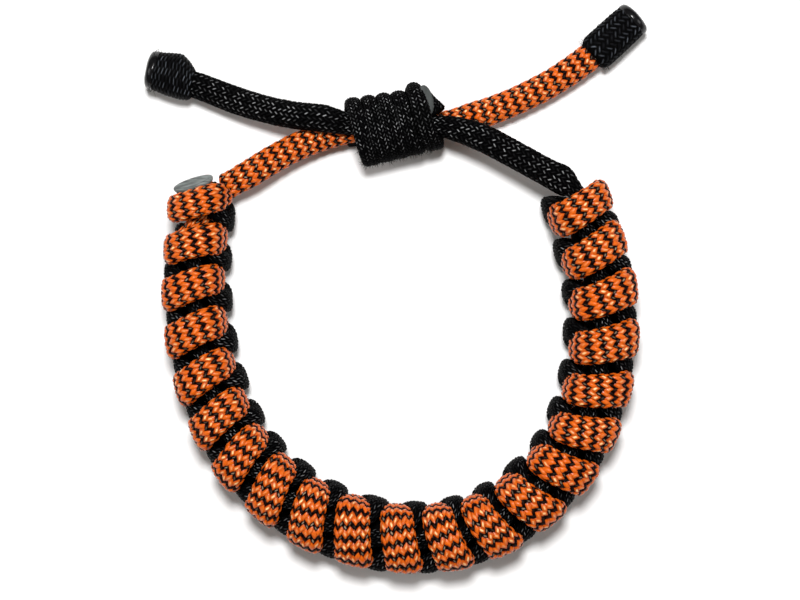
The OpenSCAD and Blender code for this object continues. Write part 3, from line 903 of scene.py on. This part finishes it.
def mottled_material(name, dark, light, scale, roughness, specular, bump=0, stretch=(1, 1, 1), turn=0):
    """A surface mottled in its colour and, with bump, in its relief."""
    mat, tree, shader = new_material(name)
    place = node(tree, "Mapping", {
        "Vector": node(tree, "TexCoord", {})["Object"],
        "Rotation": (0, 0, math.radians(turn)),
        "Scale": [scale * k for k in stretch],
    })["Vector"]
    mottle = node(tree, "Group", {"Place": place}, node_tree=mottle_group())
    fill(tree, shader, {
        "Base Color": mixed(tree, mottle["Mottle"], dark, light),
        "Roughness": roughness,
        "Specular IOR Level": specular,
    })
    if bump:
        fill(tree, shader, {"Normal": relief_normal(tree, mottle["Height"], bump, 0.1)})
    return mat


@functools.cache
def finish_of(name):
    """The finish of that name."""
    colours = bpy.context.scene.bracelet_colours
    if name in YARN_FINISHES:
        colour, shares, *rest = YARN_FINISHES[name]
        return yarn_material(name, [c * k for c, k in zip(getattr(colours, colour), shares)], *rest)
    dark, light, *rest = MOTTLED_FINISHES[name]
    if isinstance(dark, float):
        dark, light = ([share * c for c in colours.melted] for share in (dark, light))
    return mottled_material(name, dark, light, *rest)


def dress(obj, finish):
    """Gives a piece its material and body."""
    obj.data.materials.clear()
    obj.data.materials.append(finish_of(finish))
    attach(obj, "root")
    return obj


# Cords and their sections
CORDS = {
    "orange_strand": strand_orange,
    "black_strand": strand_black,
    "orange_tail": lambda: route_sections(ORANGE_TAIL),
    "black_tail": lambda: route_sections(BLACK_TAIL),
    "slide_knot": coil,
}


@functools.cache
def sheath_of(name):
    """The sheath of a cord or a sleeve."""
    if name in SLEEVES:
        return Sheath(sleeve_sections(name), 0.15)
    return Sheath(CORDS[name](), 0.3)


@functools.cache
def view_tree():
    """All cords and sleeves as plain tubes, to find which yarns can be seen."""
    verts, faces = [], []
    sides = 16
    for name in (*CORDS, *SLEEVES):
        sheath = sheath_of(name)
        s = np.arange(0, sheath.length, 0.8)
        base = len(verts)
        verts.extend(map(tuple, tube(sheath, s, sides, 0.1).reshape(-1, 3)))
        for i in range(len(s) - 1):
            for j in range(sides):
                a, b = base + i * sides + j, base + i * sides + (j + 1) % sides
                faces.append((a, b, b + sides, a + sides))
    return BVHTree.FromPolygons(verts, faces)


def add_yarns(name, seed, two_colours=False, hidden_core=0, ring=None, columns=None,
              shape="long", relief=None):
    """The yarns of one cord, as one dressed mesh for each colour."""
    cord = bpy.context.scene.bracelet_cord
    relief = relief or cord.relief / MM
    weave = Weave(sheath_of(name), ring or cord.ring / MM, columns or cord.columns)
    weave.cull(view_tree(), hidden_core)
    if two_colours:
        kinds = (("_orange_yarns", ~weave.dark, "bold", "orange_yarn"),
                 # The dark yarns carry a painted brown reflection of the orange ones
                 ("_black_yarns", weave.dark, "slim", "brown_yarn"))
    else:
        finish = "sleeve_yarn" if name in SLEEVES else "black_yarn"
        kinds = (("_yarns", weave.x > 0, shape, finish),)
    return [dress(weave.mesh(name + part, mask, relief, seed + i, kind), finish)
            for i, (part, mask, kind, finish) in enumerate(kinds)]


# Operators
class BRACELET_OT_stage(bpy.types.Operator):
    """Makes the camera, the pale surface and the lights"""

    bl_idname = "bracelet.stage"
    bl_label = "Stage"

    def execute(self, context):
        stage = context.scene.bracelet_stage
        camera = add_object("camera", bpy.data.cameras.new("camera"))
        camera.location = (*CAMERA_XY, stage.camera_height)
        camera.data.lens = LENS
        camera.data.sensor_width = SENSOR_WIDTH
        camera.data.clip_start = 0.01
        context.scene.camera = camera
        self.surface()
        world = bpy.data.worlds.new("studio")
        world.use_nodes = True
        fill(world.node_tree, world.node_tree.nodes["Background"],
             {"Color": (1, 0.93, 0.83, 1), "Strength": stage.fill})
        context.scene.world = world
        for name, place, size, share in LAMPS:
            lamp = add_object(name, bpy.data.lights.new(name, "AREA"))
            lamp.data.shape = "DISK"
            lamp.data.size = size
            lamp.data.energy = share * stage.lamp_power
            lamp.location = place
            aim = Vector(LAMP_AIM) - Vector(place)
            lamp.rotation_euler = aim.to_track_quat("-Z", "Y").to_euler()
        context.scene.view_settings.view_transform = "Standard"
        return {"FINISHED"}

    def surface(self):
        """The pale surface that the bracelet lies on."""
        bm = bmesh.new()
        bmesh.ops.create_grid(bm, x_segments=2, y_segments=2, size=1.2)
        mesh = bpy.data.meshes.new("surface")
        bm.to_mesh(mesh)
        bm.free()
        mat, tree, shader = new_material("pale_surface")
        fill(tree, shader, {
            "Base Color": (0.9, 0.9, 0.9, 1), "Roughness": 0.9, "Specular IOR Level": 0.1})
        mesh.materials.append(mat)
        surface = add_object("surface", mesh)


class BRACELET_OT_sleeves(bpy.types.Operator):
    """Makes the sleeves of the two tails with their melted tips"""

    bl_idname = "bracelet.sleeves"
    bl_label = "Sleeves"

    def execute(self, context):
        for name, ring, columns, shape, seed in SLEEVE_BRAIDS:
            body = core_object(name + "_body", sheath_of(name), 0.1, 40, 0.3)
            dress(body, "black_core")
            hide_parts(name)
            add_yarns(name, seed, ring=ring, columns=columns, shape=shape, relief=0.2)
            self.tip(name, sheath_of(name), seed + 1)
        return {"FINISHED"}

    def tip(self, name, sheath, seed):
        """The melted collar and end of a sleeve, their edges a little uneven."""
        rng = np.random.default_rng(seed)
        u = np.arange(48) / 48
        wave = sum(rng.uniform(0.5, 1) / k * np.sin(2 * np.pi * (k * u + rng.uniform()))
                   for k in (2, 3, 5, 8, 11))
        rings = []
        for back, height in TIP_SIDE:
            s = sheath.length - back - 0.16 * wave * (back > 0.5)
            rings.append(sheath.at(s, u, height + 0.03 * wave)[0])
        last = rings[-1]
        middle = last.mean(axis=0)
        along = unit(sheath.rows[-1, :3] - sheath.rows[-4, :3])
        for ahead, share in TIP_END:
            rings.append(middle + (last - middle) * share
                         + along * (ahead + 0.05 * wave[:, None] * share))
        tip = ring_object(name + "_tip", rings, smooth_ends=True)
        dress(tip, "melted_black")


class BRACELET_OT_tails(bpy.types.Operator):
    """Makes the two free tails, each a cord whose end lies in its sleeve"""

    bl_idname = "bracelet.tails"
    bl_label = "Tails"

    def execute(self, context):
        for name, two_colours, finish, slot, seed in (
                ("orange_tail", True, "orange_core", "orange_cord", 11),
                ("black_tail", False, "black_core", "black_cord", 21)):
            sheath = sheath_of(name)
            core = dress(core_object(name + "_cord", sheath), finish)
            on_it = add_yarns(name, seed, two_colours)
            sleeve = name.replace("tail", "sleeve")
            on_it += [bpy.data.objects[sleeve + part] for part in ("_body", "_yarns", "_tip")]
            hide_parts(name)
        return {"FINISHED"}


class BRACELET_OT_band(bpy.types.Operator):
    """Makes the braided band of both strands"""

    bl_idname = "bracelet.band"
    bl_label = "Band"

    def execute(self, context):
        for name, two_colours, slot, hidden_core, seed in (
                ("orange_strand", True, "orange_cord", 1, 31),
                ("black_strand", False, "black_cord", -1, 41)):
            core = dress(core_object(name + "_core", sheath_of(name)), "black_core")
            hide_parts(name)
            add_yarns(name, seed, two_colours, hidden_core)
        return {"FINISHED"}


class BRACELET_OT_knot(bpy.types.Operator):
    """Makes the sliding knot's coil"""

    bl_idname = "bracelet.knot"
    bl_label = "Sliding knot"

    def execute(self, context):
        core = core_object("slide_knot_core", sheath_of("slide_knot"), 0.15)
        dress(core, "black_core")
        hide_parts("slide_knot")
        add_yarns("slide_knot", 51, ring=1.25, columns=8)
        return {"FINISHED"}


class BRACELET_OT_ends(bpy.types.Operator):
    """Makes the melted cut ends"""

    bl_idname = "bracelet.ends"
    bl_label = "Cut ends"

    def execute(self, context):
        first, second = (np.array(row) for row in BLACK_FIRST[:2])
        place = first[:3] * (PITCH, 1, 1)
        away = unit(place - second[:3] * (PITCH, 1, 1))
        facing = math.radians(first[5])
        out = np.array([0, math.cos(facing), math.sin(facing)])
        out = unit(out - (out @ away) * away)
        rings = self.bead(place, away, np.cross(away, out), out, first[3:5])
        self.end("braid_cut_end", [bent(ring, -1) for ring in rings], "braid_cut")
        place = np.array(KNOT_CUT) - (0, 0, 0.17)
        x, y, z = np.eye(3)
        rings = self.bead(place, 0.35 * z, y, x, KNOT_CUT_HALF, 0.6)
        self.end("knot_cut_end", [in_knot(ring) for ring in rings], "knot_cut")
        return {"FINISHED"}

    def bead(self, place, away, side, out, half, swell=1.0):
        """Rounds of a melted bead on a cord's end."""
        turn = np.linspace(0, 2 * np.pi, 49)[:-1, None]
        return [place + far * away + share * ((half[0] + swell * grow) * np.cos(turn) * side
                                              + (half[1] + swell * grow) * np.sin(turn) * out)
                for far, grow, share in BEAD]

    def end(self, name, rings, finish):
        """The piece that stands for a cut end."""
        face = ring_object(name + "_face", rings, smooth_ends=True)
        dress(face, finish)
        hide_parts(name)


class BRACELET_OT_fuzz(bpy.types.Operator):
    """Makes the loose fibres on the knot and the sleeves"""

    bl_idname = "bracelet.fuzz"
    bl_label = "Loose fibres"

    def execute(self, context):
        for name, near, far, low, high, count, length in FIBRES:
            rng = np.random.default_rng(len(name) + count)
            sheath = sheath_of(name)
            s = sheath.length * rng.uniform(near, far, count)
            roots, facing = sheath.at(s, rng.uniform(low, high, count), 0.05)
            if name == "slide_knot":
                # Only on the side towards the braid, off the last wrap and the surface
                lower = (facing[:, 1] < -0.3) & (roots[:, 0] < 5.5) & (roots[:, 2] > 2)
                roots, facing = roots[lower], facing[lower]
            fibres = fibres_object(f"{name}_fibres_{count}", roots, facing, length, count)
            dress(fibres, "black_core")
        return {"FINISHED"}


class BRACELET_PT_panel(bpy.types.Panel):
    """Lists the bracelet's settings and the buttons of its steps"""

    bl_idname = "BRACELET_PT_panel"
    bl_label = "Rope Bracelet"
    bl_space_type = "VIEW_3D"
    bl_region_type = "UI"
    bl_category = "Bracelet"

    def draw(self, context):
        for name, group in GROUPS.items():
            box = self.layout.box()
            for setting in group.__annotations__:
                box.prop(getattr(context.scene, name), setting)
        for step in STEPS:
            self.layout.operator(step.bl_idname)


STEPS = (BRACELET_OT_stage, BRACELET_OT_sleeves, BRACELET_OT_tails, BRACELET_OT_band,
         BRACELET_OT_knot, BRACELET_OT_ends, BRACELET_OT_fuzz)
GROUPS = {
    "bracelet_cord": CordSettings,
    "bracelet_colours": ColourSettings,
    "bracelet_stage": StageSettings,
}


def register():
    for cls in (*GROUPS.values(), *STEPS, BRACELET_PT_panel):
        bpy.utils.register_class(cls)
    for name, cls in GROUPS.items():
        setattr(bpy.types.Scene, name, bpy.props.PointerProperty(type=cls))


def unregister():
    for name in GROUPS:
        delattr(bpy.types.Scene, name)
    for cls in (BRACELET_PT_panel, *reversed(STEPS), *GROUPS.values()):
        bpy.utils.unregister_class(cls)


def main():
    register()
    for step in ("stage", "sleeves", "tails", "band", "knot", "ends", "fuzz"):
        getattr(bpy.ops.bracelet, step)()


if __name__ == "__main__":
    main()
